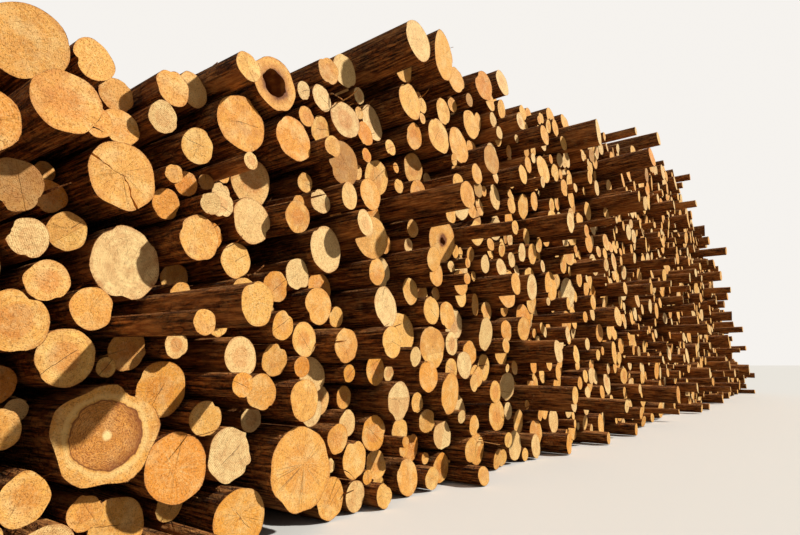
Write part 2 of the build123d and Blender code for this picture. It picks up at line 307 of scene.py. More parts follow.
# %% [markdown]
# The models are read into arrays, because thousands of copies made one by one with operators would take
# many minutes. The modelled things themselves are then removed, since they aren't part of the stack.


# %% Turn the models into arrays
class Model:
    """Corners, faces and materials of a modelled thing, as arrays."""

    def __init__(self, thing):
        mesh = thing.data
        self.places = read_all(mesh.vertices, "co", np.float32, 3).reshape(-1, 3).astype(float)
        self.corners = read_all(mesh.loops, "vertex_index", np.int32)
        self.starts = read_all(mesh.polygons, "loop_start", np.int32)
        self.materials = read_all(mesh.polygons, "material_index", np.int32)


models = {kind: [Model(thing) for thing in things] for kind, things in modelled.items()}
for things in modelled.values():
    for thing in things:
        bpy.data.objects.remove(thing)
print("corners of one model", {kind: len(kept[0].places) for kind, kept in models.items()})

# %% [markdown]
# No real log is round. Its outline has flats and lobes, felling knocks a chip out of some rims, and bark
# comes off in small nicks. Flats and lobes are waves in the circle. A chip or a nick is a dent in the rim
# of the front end, wide or narrow, that fades along the log.

# %% Outline of a log
UNROUND = 0.085
LOBES = range(2, 9)
CHIPPED_SHARE = 0.26
CHIP = {"half_width": (0.16, 0.4), "bite": (0.08, 0.2), "fade": (3, 20)}
NICKS_PER_END = 1.6
NICK = {"half_width": (0.08, 0.2), "bite": (0.02, 0.08), "fade": (10, 50)}


def turned_from(angle, turn):
    """How far an angle is from another, from nought to half a turn."""
    return np.abs((angle - turn + math.pi) % (2 * math.pi) - math.pi)


def dent(angle, along, chance, half_width, bite, fade):
    """How far a dent at a random place on the front rim goes in, as a share of the radius."""
    off = turned_from(angle, chance.uniform(-math.pi, math.pi)) / chance.uniform(*half_width)
    return chance.uniform(*bite) * np.exp(-off * off) * np.exp(-along * chance.uniform(*fade))


def outline(angle, along, chance):
    """A log's radius all round, as a share of a circle's: flats, lobes, nicks, and sometimes a chip."""
    shape = np.ones(len(angle))
    for waves in LOBES:
        size = chance.uniform(0, UNROUND / waves)
        shape -= size * (1 - np.cos(waves * angle + chance.uniform(0, 6)))
    shape /= shape.max()
    if chance.random() < CHIPPED_SHARE:
        shape -= dent(angle, along, chance, **CHIP)
    for _ in range(chance.poisson(NICKS_PER_END)):
        shape -= dent(angle, along, chance, **NICK)
    return shape


# %% [markdown]
# A copy of a model is laid on each solid by arithmetic on all its corners at once: the radius runs from the
# front one to the back one, and the saw cut is not quite square. Each corner also keeps where it lies in
# its log, in metres from the heart, because rings, cracks and bark furrows follow the log and not the room.

# %% Lay a copy on a solid
SAW_SLANT = 0.06
SLANT_FADE = 12
HEART_OFFSET = 0.16


def frame_of(log):
    """A log's length and its directions across, up and along."""
    way = log[2] - log[0]
    length = np.linalg.norm(way)
    way = way / length
    across = np.cross(way, (0, 0, 1.0))
    across /= np.linalg.norm(across)
    return length, across, np.cross(across, way), way


def lay_log(model, log, chance, flutes=None):
    """Places of a model's corners on a solid, with flutes in its side on request."""
    front, front_radius, back, back_radius = log
    length, across, up, way = frame_of(log)
    turn = chance.uniform(0, 2 * math.pi)
    x = model.places[:, 0] * math.cos(turn) - model.places[:, 2] * math.sin(turn)
    z = model.places[:, 0] * math.sin(turn) + model.places[:, 2] * math.cos(turn)
    along = np.clip(model.places[:, 1], 0, 1)
    angle = np.arctan2(z, x)
    radius = (front_radius + (back_radius - front_radius) * along) * outline(angle, along, chance)
    if flutes:
        radius = radius - flutes(angle, along * length)
    x, z = x * radius, z * radius
    slant_x, slant_z = chance.normal(0, SAW_SLANT, 2)
    at_end = np.clip(1 - np.minimum(along, 1 - along) * SLANT_FADE, 0, 1)
    forward = along * length + at_end * (x * slant_x + z * slant_z)
    return front + np.outer(x, across) + np.outer(z, up) + np.outer(forward, way)


def grain_of(places, log, chance):
    """Where places lie in their log, in metres from its heart, and how near they are to the rim."""
    front, front_radius, back, back_radius = log
    length, across, up, way = frame_of(log)
    x, z, along = (places - front) @ across, (places - front) @ up, (places - front) @ way
    heart = chance.uniform(-HEART_OFFSET, HEART_OFFSET, 2) * front_radius
    radius = front_radius + (back_radius - front_radius) * along / length
    return np.stack([x - heart[0], along, z - heart[1]], 1), np.hypot(x, z) / radius


# %% [markdown]
# A loose strip keeps its root in the bark and its tip curls off towards the front. Most lie on the upper
# half of a log. One that would reach down to the ground is left off, because it would go through it.

# %% Lay a loose strip on a log
STRIPS_PER_LOG = 1.7
STRIP_REACH = 8.5
LOWEST_STRIP = 0.004
STRIP_ANGLE = (-0.5, math.pi + 0.5)
STRIP_LENGTH = (0.1, 0.42)
STRIP_WIDTH = (0.008, 0.034)
STRIP_ROOT = (0.05, 1.6)
STRIP_LIFT = (0.03, 0.45)
STRIP_SWAY = 0.25
ROOT_RADIUS = 0.88
FLAT_PART = 0.2
LIFT_SHORTENS = 0.3


def lay_strip(model, log, chance):
    """Places of a strip's corners: its root is held in the bark, and its tip curls off towards the front."""
    front, front_radius, back, back_radius = log
    length, across, up, way = frame_of(log)
    angle = chance.uniform(*STRIP_ANGLE)
    reach, width = chance.uniform(*STRIP_LENGTH), chance.uniform(*STRIP_WIDTH)
    root = chance.uniform(*STRIP_ROOT)
    lift, sway = chance.uniform(*STRIP_LIFT), chance.normal(0, STRIP_SWAY)
    along = model.places[:, 1]
    rise = reach * lift * np.clip(along - FLAT_PART, 0, 1) ** 2
    aside = reach * sway * along * along + model.places[:, 0] * width
    out = math.cos(angle) * across + math.sin(angle) * up
    side = math.cos(angle) * up - math.sin(angle) * across
    height = front_radius * ROOT_RADIUS + rise + model.places[:, 2] * width
    forward = root - along * reach * (1 - LIFT_SHORTENS * lift)
    return front + np.outer(height, out) + np.outer(aside, side) + np.outer(forward, way)


# %% [markdown]
# Each log carries four random numbers for its looks: tone, tint, dirt and a seed. Far ends look paler than
# near ones in the real stack, so their tint leans that way. All copies of a node are joined in one mesh,
# which carries the grain, the nearness to the rim and the looks as attributes that the materials read.

# %% Choose the copies for a log
PALER_FAR_AWAY = 0.55
PALER_FROM = 4
PALER_OVER = 8
PALE_STRIPS = 0.3


def copies_for(log, chance):
    """A log's own copy and those of its strips: model, places, grain, rim, looks and materials of each."""
    distance = np.linalg.norm(log[0] - CAMERA_AT)
    choices = models[grade_of(log[0], distance)]
    model = choices[chance.integers(len(choices))]
    look = chance.uniform(0, 1, 4)
    look[1] **= 1 - PALER_FAR_AWAY * min(max(distance - PALER_FROM, 0) / PALER_OVER, 1)
    place = lay_log(model, log, chance)
    copies = [(model, place, *grain_of(place, log, chance), look, model.materials)]
    for _ in range(chance.poisson(STRIPS_PER_LOG) if distance < STRIP_REACH else 0):
        strip = models["loose"][chance.integers(len(models["loose"]))]
        place = lay_strip(strip, log, chance)
        pale = np.full(len(strip.starts), int(chance.random() < PALE_STRIPS), np.int32)
        if place[:, 2].min() >= LOWEST_STRIP:
            copies.append((strip, place, *grain_of(place, log, chance), look, pale))
    return copies


# %% Make a piece from arrays
def make_piece(name, places, corners, starts, materials):
    """A new piece with the given mesh, in the place where its corners say."""
    mesh = bpy.data.meshes.new(name + "_dressed")
    mesh.vertices.add(len(places))
    mesh.loops.add(len(corners))
    mesh.polygons.add(len(starts))
    mesh.vertices.foreach_set("co", places.astype(np.float32).ravel())
    mesh.loops.foreach_set("vertex_index", corners)
    mesh.polygons.foreach_set("loop_start", starts)
    mesh.polygons.foreach_set("material_index", materials)
    mesh.update(calc_edges=True)
    mesh.validate()
    piece = bpy.data.objects.new(name + "_dressed", mesh)
    bpy.context.scene.collection.objects.link(piece)
    return piece


def write_attributes(mesh, grain, rim, look):
    """Stores the values that the materials read, one for each corner."""
    stored = (
        ("grain", "FLOAT_VECTOR", "vector", grain),
        ("rim", "FLOAT", "value", rim),
        ("look", "FLOAT_COLOR", "color", look),
    )
    for name, kind, field, values in stored:
        layer = mesh.attributes.new(name, kind, "POINT")
        layer.data.foreach_set(field, np.ascontiguousarray(values, np.float32).ravel())


# %% Join the copies of a node
def dress_node(name, logs, chance):
    """One piece with a copy of a model on each log of a node."""
    copies = [copy for log in logs for copy in copies_for(log, chance)]
    used, places, grains, rims, looks, materials = zip(*copies)
    corner_counts = np.cumsum([0] + [len(place) for place in places])
    loop_counts = np.cumsum([0] + [len(model.corners) for model in used])
    corners = [model.corners + count for model, count in zip(used, corner_counts)]
    starts = [model.starts + count for model, count in zip(used, loop_counts)]
    piece = make_piece(name, *(np.concatenate(part) for part in (places, corners, starts, materials)))
    looks = [np.tile(look, (len(place), 1)) for look, place in zip(looks, places)]
    write_attributes(piece.data, np.concatenate(grains), np.concatenate(rims), np.concatenate(looks))
    return piece


SHAPED = (
    "cracked_log", "double_heart_log", "giant_butt_log", "hollow_log",
    "lobed_butt_log", "rotten_heart_log", "torn_log",
)
chance = np.random.default_rng(7)
pieces = {name: dress_node(name, logs, chance) for name, logs in logs_of.items() if name not in SHAPED}
triangles = sum(len(p.data.loops) - 2 * len(p.data.polygons) for p in pieces.values())
print("pieces", len(pieces), "triangles", triangles)

# %% [markdown]
# Materials are written as sums. A small class wraps a socket, so that adding or multiplying two of them
# adds the Math node that does it. A second class holds a material, makes any other node by one method, and
# lays one colour over another.


# %% A socket that does sums
class Value:
    """A number in a material, as a node's output socket."""

    def __init__(self, tree, socket):
        self.tree, self.socket = tree, socket

    def sum_with(self, operation, *others, clamp=False):
        node = self.tree.nodes.new("ShaderNodeMath")
        node.operation = operation
        node.use_clamp = clamp
        for slot, value in zip(node.inputs, (self, *others)):
            plug(self.tree, slot, value)
        return Value(self.tree, node.outputs[0])

    def __add__(self, other):
        return self.sum_with("ADD", other)

    def __sub__(self, other):
        return self.sum_with("SUBTRACT", other)

    def __rsub__(self, other):
        return (self * -1.0).sum_with("ADD", other)

    def __mul__(self, other):
        return self.sum_with("MULTIPLY", other)

    def __truediv__(self, other):
        return self.sum_with("DIVIDE", other)

    __radd__ = __add__
    __rmul__ = __mul__

    def clamp(self):
        return self.sum_with("ADD", 0.0, clamp=True)

    def size(self):
        return self.sum_with("ABSOLUTE")

    def wave(self):
        """A sine wave, brought between nought and one."""
        return self.sum_with("SINE") * 0.5 + 0.5

    def above(self, low, high):
        """Nought below low, one above high, and even between them."""
        return ((self - low) / (high - low)).clamp()


def plug(tree, slot, value):
    """Links a value to a node's input, or sets a plain number, vector or colour there."""
    if isinstance(value, Value):
        tree.links.new(value.socket, slot)
    else:
        slot.default_value = value


# %% A material's tree
def colour(red, green, blue):
    """A colour as read on screen, brought to the linear values that nodes use."""
    shares = [part / 255 for part in (red, green, blue)]
    linear = [((share + 0.055) / 1.055) ** 2.4 if share > 0.04 else share / 12.92 for share in shares]
    return (*linear, 1.0)


class Finish:
    """A material with one principled shader, and short ways to add nodes to it."""

    def __init__(self, name):
        self.material = bpy.data.materials.new(name)
        self.material.use_nodes = True
        self.tree = self.material.node_tree
        self.shader = self.tree.nodes["Principled BSDF"]

    def node(self, kind, settings=None, **inputs):
        """A node of a kind, with its settings first and then its sockets, by name or as n and a number."""
        node = self.tree.nodes.new("ShaderNode" + kind)
        for key, value in (settings or {}).items():
            setattr(node, key, value)
        for key, value in inputs.items():
            slot = node.inputs[int(key[1:])] if key[0] == "n" and key[1:].isdigit() else node.inputs[key]
            plug(self.tree, slot, value)
        return node

    def out(self, node, which=0):
        return Value(self.tree, node.outputs[which])

    def attribute(self, name, which):
        return self.out(self.node("Attribute", {"attribute_name": name}), which)

    def split(self, vector):
        parts = self.node("SeparateXYZ", None, Vector=vector)
        return [self.out(parts, k) for k in range(3)]

    def vector(self, x, y, z):
        return self.out(self.node("CombineXYZ", None, X=x, Y=y, Z=z))

    def noise(self, vector, scale, detail=2.0, roughness=0.5):
        node = self.node("TexNoise", None, Vector=vector, Scale=scale, Detail=detail, Roughness=roughness)
        return self.out(node, "Fac")

    def mix(self, share, first, second):
        return self.out(self.node("Mix", {"data_type": "RGBA"}, n0=share, n6=first, n7=second), 2)

    def over(self, base, *layers):
        """A base colour with others laid over it in turn, each given as its share and its colour."""
        for share, tint in layers:
            base = self.mix(share, base, colour(*tint))
        return base

    def join(self, value, socket):
        plug(self.tree, self.shader.inputs[socket], value)

    def bump(self, height, distance, strength):
        node = self.node("Bump", None, Height=height, Distance=distance, Strength=strength)
        self.join(self.out(node), "Normal")


print("helpers for materials are ready")

# %% [markdown]
# A sawn end is warm orange where it has dried in the sun, cream where it is fresh and grey where it is
# dirty. Rings circle the heart, drying checks run out from it as thin dark lines, the saw leaves faint
# straight tracks, and fine dark specks lie all over. Large pale patches are partly paler wood and partly
# painted highlight. On some ends the half beyond a ragged step is darker, partly as the other face of a
# stepped felling cut and partly as painted shade. Every log takes its own mixture from the four random
# numbers that it carries. A picture of wood could be laid on instead, but it would repeat from log to log
# and its rings would miss the heart.


# %% Measures on a sawn end
class EndGrain(Finish):
    """The finish of a sawn end, with the measures that its marks are drawn by."""

    def __init__(self, name):
        super().__init__(name)
        x, along, z = self.split(self.attribute("grain", "Vector"))
        self.x, self.z = x, z
        self.rim = self.attribute("rim", "Fac")
        self.tone, self.tint, self.dirt = self.split(self.attribute("look", "Color"))
        self.seed = self.attribute("look", "Alpha")
        self.place = self.vector(x, self.seed * 40.0 + along, z)
        self.wobble = self.noise(self.place, 9.0, 2.0) - 0.5
        self.radius = (x * x + z * z).sum_with("POWER", 0.5)
        angle = z.sum_with("ARCTAN2", x)
        self.around_x, self.around_z = angle.sum_with("COSINE"), angle.sum_with("SINE")
        bearing = self.seed * 43.0
        bearing_x, bearing_z = bearing.sum_with("COSINE"), bearing.sum_with("SINE")
        self.aside = x * bearing_z - z * bearing_x
        self.forth = x * bearing_x + z * bearing_z

    def round_noise(self, reach, depth, scale, detail, roughness=0.5):
        """Noise along a circle of the given reach, so that it changes only round the heart and by depth."""
        where = self.vector(self.around_x * reach, depth, self.around_z * reach)
        return self.noise(where, scale, detail, roughness)


# %% [markdown]
# A drying check lies where noise that changes only round the heart passes through its middle value. The
# checks fade towards the rim. About one log in three also has a straight split through its heart.


# %% Checks and splits
def drying_checks(end, checked):
    """Thin lines out from the heart, more of them the higher checked is, and on some logs a split."""
    lines = 1.0 - (end.round_noise(2.0, end.seed * 30.0, 3.3, 3.0) - 0.5).size().above(0.002, 0.012)
    reach = end.round_noise(1.0, end.seed * 30.0, 2.2, 1.0)
    reach = reach.above(0.4 - checked * 0.3, 0.75 - checked * 0.3)
    checks = lines * (1.0 - end.rim.above(0.25, 0.95)) * reach * end.rim.above(0.02, 0.1)
    split = 1.0 - (end.aside + end.wobble * 0.03).size().above(0.0008, 0.0022)
    half_split = end.seed * 0.7
    past_split = (end.forth * 5.0 + end.wobble * 0.6 + 0.25).size().above(half_split, half_split + 0.1)
    return (checks + split * (1.0 - past_split) * (end.tone - 0.6).above(0.0, 0.05)).clamp()


# %% [markdown]
# Three colours of wood are mixed by a log's tint. Most ends are warm. Of the near ones about one in five is
# pale and fresh, and one in four is a strong orange. Some logs are darker in the heart.


# %% Colour of the wood itself
def wood_colour(end):
    """The plain colour of a sawn end, before any marks."""
    warm = end.mix(end.tone, colour(240, 172, 78), colour(252, 200, 106))
    pale = end.mix(end.tone, colour(248, 210, 136), colour(255, 228, 162))
    strong = end.mix(end.tone, colour(236, 152, 50), colour(244, 172, 66))
    base = end.mix(end.tint.above(0.77, 0.84), warm, pale)
    base = end.mix(1.0 - end.tint.above(0.18, 0.3), base, strong)
    heart_share = (end.seed - 0.5).above(0.0, 0.4) * 0.5
    in_heart = 1.0 - (end.rim + end.wobble * 0.3).above(0.42, 0.58)
    return end.over(base, (in_heart * heart_share, (216, 126, 50)))


# %% [markdown]
# One great butt has a broad brown ring round its heart, flecked along the rings and with a light band
# outside it, and some logs have rotted from the middle. Both are laid over the finished wood.


# %% A ringed heart and a rotten one
def ring_heart(end, base, strength):
    """A base colour with a brown ring round the heart laid over it."""
    at = end.rim + end.wobble * 0.2
    inside = 1.0 - at.above(0.585, 0.605)
    flecks = end.round_noise(9.0, (end.radius + end.wobble * 0.03) * 230.0, 1.0, 2.0, 0.6).above(0.48, 0.6)
    dark_side = (end.x * 4.0 - end.z * 1.5 + 0.1).above(0.0, 0.6)
    line = 1.0 - (at - 0.595).size().above(0.006, 0.02)
    light_band = 1.0 - (at - 0.68).size().above(0.02, 0.07)
    return end.over(
        base,
        (inside * 0.4, (214, 128, 48)),
        (inside * flecks * 0.75, (142, 76, 28)),
        (inside * at.above(0.36, 0.58) * dark_side * strength, (128, 64, 24)),
        (line * strength, (112, 56, 22)),
        (light_band * 0.5, (255, 216, 138)),
        (1.0 - at.above(0.05, 0.1), (255, 222, 150)),
    )


def rot_heart(end, base, reach):
    """A base colour with rot laid over it, out to a share of the radius."""
    eaten = 1.0 - (end.rim + end.wobble * 0.5).above(reach * 0.8, reach * 1.02)
    browned = 1.0 - (end.rim + end.wobble * 0.4).above(reach, reach * 1.4)
    return end.over(base, (eaten * 0.94, (26, 13, 6)), (browned * 0.5, (160, 88, 36)))


# %% Sawn wood
YEAR_RINGS = 620.0
BROAD_RINGS = 150.0
SAW_TRACKS = 560.0


def sawn_wood(name="sawn_wood", heart_ring=0.0, rot=0.0, checked=0.0):
    """Sawn end grain, on request with a brown ring round the heart, a rotten heart or many checks."""
    end = EndGrain(name)
    rim, wobble, seed, place = end.rim, end.wobble, end.seed, end.place
    rings = ((end.radius + wobble * 0.03) * YEAR_RINGS).wave()
    broad_rings = ((end.radius + wobble * 0.05) * BROAD_RINGS + seed * 9.0).wave()
    tracks = ((end.forth + wobble * 0.02) * SAW_TRACKS).sum_with("SINE").above(0.2, 0.9)
    stepped = (end.aside + wobble * 0.015 - (seed - 0.5) * 0.1).above(0.0, 0.003)
    # On some ends the half beyond a ragged step is darker: partly the other face of a stepped felling cut,
    # partly painted shade of that step.
    cut_and_shaded_half = stepped * (end.tone - seed).size().above(0.62, 0.66)
    rays = end.round_noise(9.0, seed * 50.0, 1.6, 2.0).above(0.55, 0.62)
    star = rays * (1.0 - rim.above(0.2, 0.75)) * (0.4 - end.dirt).above(0.0, 0.1)
    dashes = end.round_noise(30.0, end.radius * 40.0 + seed * 9.0, 1.0, 2.0, 0.6).above(0.56, 0.66)
    specks = end.noise(place, 105.0, 3.0, 0.75).above(0.54, 0.66)
    flecks = end.noise(place, 60.0, 3.0, 0.7).above(0.5, 0.68)
    mottle = end.noise(place, 42.0, 3.0, 0.7).above(0.54, 0.68)
    # Large pale patches: partly paler wood, partly painted highlight where a rough end catches the sun.
    pale_wood_and_highlight = end.noise(place, 7.0, 3.0, 0.6).above(0.48, 0.66)
    blotch = end.noise(place, 13.0, 3.0).above(0.42, 0.72)
    checks = drying_checks(end, checked)
    base = end.over(
        wood_colour(end),
        (broad_rings * 0.16, (206, 122, 48)),
        (rings * 0.2, (190, 110, 46)),
        (star * 0.45 + flecks * 0.3, (255, 224, 156)),
        (tracks * end.tint.above(0.84, 0.88) * 0.4, (176, 108, 44)),
        # darker half beyond the step: partly another cut face, partly painted shade
        (cut_and_shaded_half * 0.4, (206, 134, 58)),
        ((1.0 - rim.above(0.02, 0.07)) * end.tone * 0.7, (120, 66, 28)),
        # pale patches: partly paler wood, partly painted highlight
        (pale_wood_and_highlight * 0.34, (255, 228, 160)),
        (blotch * (end.dirt * 0.4 + 0.08), (176, 102, 38)),
        (mottle * 0.24, (176, 96, 30)),
        (rim.above(0.84, 1.0) * 0.5, (164, 86, 32)),
        (end.dirt.above(0.965, 0.985) * 0.5, (138, 104, 60)),
        (specks * 0.58, (132, 70, 22)),
        (dashes * 0.35, (150, 84, 30)),
    )
    if heart_ring:
        base = ring_heart(end, base, heart_ring)
    if rot:
        base = rot_heart(end, base, rot)
    end.join(end.over(base, (checks * 0.85, (58, 30, 12))), "Base Color")
    end.join(0.62 + specks * 0.2, "Roughness")
    end.shader.inputs["Specular IOR Level"].default_value = 0.25
    relief = rings * 0.15 + flecks * 0.4 - checks * 1.6 - specks * 0.7 + blotch * 0.3 + cut_and_shaded_half * 1.5
    end.bump(relief, 0.005, 0.6)
    return end.material


# %% [markdown]
# Bark is furrowed along the log. It is almost black in the furrows, brown on the ridges, orange where it
# has flaked off, and grey where it has weathered, and long light and dark streaks run through it. Furrows
# and streaks come from noise that is squeezed along the log, and the edges of the flakes from cells.

# %% Bark
FURROW_SQUEEZE = 0.16
STREAK_SQUEEZE = 0.05
FLAKE_SQUEEZE = 0.4


def bark():
    """Furrowed bark, with flakes, streaks, weathered patches and bare ones."""
    finish = Finish("bark")
    x, along, z = finish.split(finish.attribute("grain", "Vector"))
    tone, tint, dirt = finish.split(finish.attribute("look", "Color"))
    seed = finish.attribute("look", "Alpha")
    place = finish.vector(x, along + seed * 40.0, z)
    ridges = finish.noise(finish.vector(x, along * FURROW_SQUEEZE + seed * 30.0, z), 46.0, 3.0, 0.6)
    scales = finish.noise(place, 30.0, 3.0, 0.6)
    patches = finish.noise(finish.vector(x, along * FURROW_SQUEEZE + seed * 17.0, z), 6.0, 3.0, 0.6)
    mould = finish.noise(place, 8.0, 3.0, 0.6)
    streaks = finish.noise(finish.vector(x, along * STREAK_SQUEEZE + seed * 11.0, z), 62.0, 3.0, 0.6)
    shift = (scales - 0.5) * 0.06
    bent = finish.vector(x + shift, along * FLAKE_SQUEEZE + seed * 23.0, z + shift)
    flakes = finish.node("TexVoronoi", {"feature": "DISTANCE_TO_EDGE"}, Vector=bent, Scale=24.0)
    gaps = 1.0 - finish.out(flakes).above(0.0, 0.14)
    peeled = (patches + tint * 0.2).above(0.66, 0.74)
    bare = finish.mix(ridges.above(0.4, 0.65), colour(160, 98, 48), colour(212, 152, 86))
    base = finish.over(
        colour(72, 33, 11),
        (ridges.above(0.35, 0.7), (182, 106, 46)),
        (scales.above(0.45, 0.7) * 0.6, (156, 98, 50)),
        (mould.above(0.5, 0.7) * (0.2 + tone * 0.5), (170, 136, 92)),
        (gaps * 0.4, (30, 13, 5)),
        (streaks.above(0.5, 0.62) * 0.65, (228, 160, 90)),
        (1.0 - streaks.above(0.34, 0.46), (28, 13, 6)),
    )
    finish.join(finish.mix(peeled * (0.35 + dirt * 0.45), base, bare), "Base Color")
    finish.join(0.9 - scales * 0.2, "Roughness")
    finish.shader.inputs["Specular IOR Level"].default_value = 0.2
    finish.bump((ridges + streaks + scales * 0.7 - gaps * 0.7) * (1.0 - peeled * 0.8), 0.02, 1.0)
    return finish.material


# %% Make the materials
bark_material, wood_material = bark(), sawn_wood()
SPECIAL_WOOD = {
    "lobed_butt_log": sawn_wood("ringed_butt_wood", heart_ring=0.75),
    "giant_butt_log": sawn_wood("checked_butt_wood", checked=1.0),
    "hollow_log": sawn_wood("hollow_wood", rot=0.56),
    "rotten_heart_log": sawn_wood("rotten_heart_wood", rot=0.3),
    "cracked_log": sawn_wood("cracked_wood", checked=0.6),
}
print("materials", bark_material.name, wood_material.name, len(SPECIAL_WOOD), "special ones")

# %% [markdown]
# Seven logs have a form of their own: rot has hollowed one and eaten into the heart of another, one is
# split, one tore when it was felled, one has two hearts, and two are huge butts. They get a finer copy. The
# grooves of a lobed butt are worked into the outline, and pockets and cracks are cut with a Boolean
# modifier by rough cutters, because rot and splits have no straight edges.


# %% Place and roughen a cutter
def roughen(thing, size, strength, direction="NORMAL"):
    """Makes a mesh uneven with a cloud texture."""
    only(thing)
    clouds = bpy.data.textures.new(thing.name + "_rough", "CLOUDS")
    clouds.noise_scale = size
    rough = thing.modifiers.new("rough", "DISPLACE")
    rough.texture = clouds
    rough.strength = strength
    rough.mid_level = 0.5
    rough.texture_coords = "GLOBAL"
    rough.direction = direction
    bpy.ops.object.modifier_apply(modifier="rough")


def aim(thing, log, x, z, along, roll=0.0):
    """Puts a thing across, up and along from a log's front end, its z axis along the log, and rolls it."""
    _, across, up, way = frame_of(log)
    turned = Matrix((across, -up, way)).transposed() @ Matrix.Rotation(roll, 3, "Z")
    thing.rotation_euler = turned.to_euler()
    thing.location = log[0] + x * across + z * up + along * way
    only(thing)
    bpy.ops.object.transform_apply(location=True, rotation=True, scale=True)


def block_cutter(shape, cuts):
    """A unit cube whose corners shape(corner) moves, subdivided afterwards so that it can be roughened."""
    bpy.ops.object.select_all(action="DESELECT")
    bpy.ops.mesh.primitive_cube_add(size=1)
    cutter = bpy.context.object
    for corner in cutter.data.vertices:
        shape(corner.co)
    bpy.ops.object.mode_set(mode="EDIT")
    bpy.ops.mesh.select_all(action="SELECT")
    bpy.ops.mesh.subdivide(number_cuts=cuts)
    bpy.ops.object.mode_set(mode="OBJECT")
    return cutter


# %% Cutters for rot, cracks and a tear
OVERSHOOT = 0.1
POCKET_TAPER = 0.4
POCKET_PARTS = 8
CLEFT_POINT = 0.15
STEP_OVERSHOOT = 0.2
STEP_SIZE = (0.4, 0.9)


def pocket(log, x, z, radius, depth, rough):
    """A tapering pocket from the front end inwards."""
    long = depth + OVERSHOOT
    bpy.ops.object.select_all(action="DESELECT")
    bpy.ops.mesh.primitive_cone_add(vertices=40, radius1=radius, radius2=radius * POCKET_TAPER, depth=long)
    cutter = bpy.context.object
    low = -depth / 2 - OVERSHOOT / 2
    cut_across([low + long * part / POCKET_PARTS for part in range(1, POCKET_PARTS)], (0, 0, 1))
    bpy.ops.object.mode_set(mode="OBJECT")
    aim(cutter, log, x, z, depth / 2 - OVERSHOOT / 2)
    roughen(cutter, 0.05, rough)
    return cutter


def cleft(log, angle, width, depth, reach):
    """A wedge from the heart out through the side, for a crack."""
    def shape(corner):
        corner.y *= width if corner.x > 0 else width * CLEFT_POINT
        corner.x = (corner.x + 0.45) * reach
        corner.z = corner.z * (depth + OVERSHOOT)

    cutter = block_cutter(shape, 7)
    aim(cutter, log, 0, 0, depth / 2 - OVERSHOOT / 2, angle)
    roughen(cutter, 0.06, 0.05, "RGB_TO_XYZ")
    return cutter


def step(log, angle, start, depth):
    """A block with a ragged edge that takes a slice off one side of the front end."""
    def shape(corner):
        corner.x = (corner.x + 0.5) * STEP_SIZE[0] + start
        corner.y *= STEP_SIZE[1]
        corner.z *= depth + STEP_OVERSHOOT

    cutter = block_cutter(shape, 11)
    aim(cutter, log, 0, 0, depth / 2 - STEP_OVERSHOOT / 2, angle)
    roughen(cutter, 0.045, 0.06)
    return cutter


# %% [markdown]
# The cutters are taken away one after another, and the faces that they leave show wood. A cut leaves a few
# slivers where two faces nearly meet, so corners closer than a sliver's width are then merged.

# %% Cut them out
SLIVER = 0.0006


def carve(thing, cutters):
    """Cuts the cutters out of a thing, whose cut faces show wood, and removes them."""
    for cutter in cutters:
        for material in thing.data.materials:
            cutter.data.materials.append(material)
        for face in cutter.data.polygons:
            face.material_index = 1
        only(thing)
        cut = thing.modifiers.new("cut", "BOOLEAN")
        cut.object = cutter
        cut.solver = "MANIFOLD"
        bpy.ops.object.modifier_apply(modifier="cut")
        bpy.data.objects.remove(cutter)
    only(thing)
    bpy.ops.object.mode_set(mode="EDIT")
    bpy.ops.mesh.select_all(action="SELECT")
    bpy.ops.mesh.remove_doubles(threshold=SLIVER)
    bpy.ops.mesh.dissolve_degenerate(threshold=SLIVER)
    bpy.ops.mesh.select_all(action="DESELECT")
    bpy.ops.object.mode_set(mode="OBJECT")


# %% Grooves of a lobed butt
def grooves(count, bite, length, first, half_width):
    """A function for grooves along the side, deepest at the front end."""
    def depth(angle, along):
        fade = np.clip(1 - along / length, 0, 1)
        total = 0
        for k in range(count):
            turn = first + 2 * math.pi * k / count
            off = turned_from(angle, turn) / half_width
            total = total + bite * fade * np.clip(1 - off * off, 0, 1) ** 1.5
        return total
    return depth


# %% The forms of the seven logs
GROOVES = {
    "lobed_butt_log": grooves(5, bite=0.030, length=1.3, first=-math.pi / 2, half_width=0.45),
    "double_heart_log": grooves(2, bite=0.040, length=3.8, first=-math.radians(80), half_width=0.7),
    "giant_butt_log": grooves(7, bite=0.010, length=1.0, first=0.3, half_width=0.3),
}
CUTTERS = {
    "hollow_log": lambda log: [pocket(log, 0, 0, radius=0.125, depth=0.75, rough=0.05)],
    "rotten_heart_log": lambda log: [
        pocket(log, 0, 0, radius=0.045, depth=0.32, rough=0.02),
        pocket(log, 0.036, -0.018, radius=0.036, depth=0.256, rough=0.02),
    ],
    "cracked_log": lambda log: [
        cleft(log, math.radians(61), width=0.016, depth=0.6, reach=0.3),
        cleft(log, math.radians(203), width=0.016, depth=0.6, reach=0.3),
    ],
    "torn_log": lambda log: [
        step(log, 0.0, start=log[1] * 0.5, depth=0.06),
        step(log, 1.1, start=log[1] * 0.74, depth=0.1),
    ],
}
LOOKS = {
    "cracked_log": (0.3, 0.4, 0.5, 0.3),
    "double_heart_log": (0.8, 0.9, 0.2, 0.1),
    "giant_butt_log": (0.2, 0.5, 0.3, 0.7),
    "hollow_log": (0.3, 0.5, 0.4, 0.45),
    "lobed_butt_log": (0.2, 0.5, 0.6, 0.35),
    "rotten_heart_log": (0.2, 0.5, 0.5, 0.25),
    "torn_log": (0.9, 0.9, 0.6, 0.6),
}
print("logs with grooves", len(GROOVES), "and with cuts", len(CUTTERS))

# %% Model the shaped logs
FINE_CUTS = (
    0.003, 0.008, 0.02, 0.04, 0.07, 0.1, 0.14, 0.19, 0.25, 0.32, 0.4, 0.5, 0.62, 0.75, 0.88, 0.96, 0.99,
)
FINE_INSETS = (0.15, 0.18, 0.2, 0.2)
fine_log = model_log("fine_log", 72, FINE_CUTS, FINE_INSETS, 3)
fine = Model(fine_log)
bpy.data.objects.remove(fine_log)


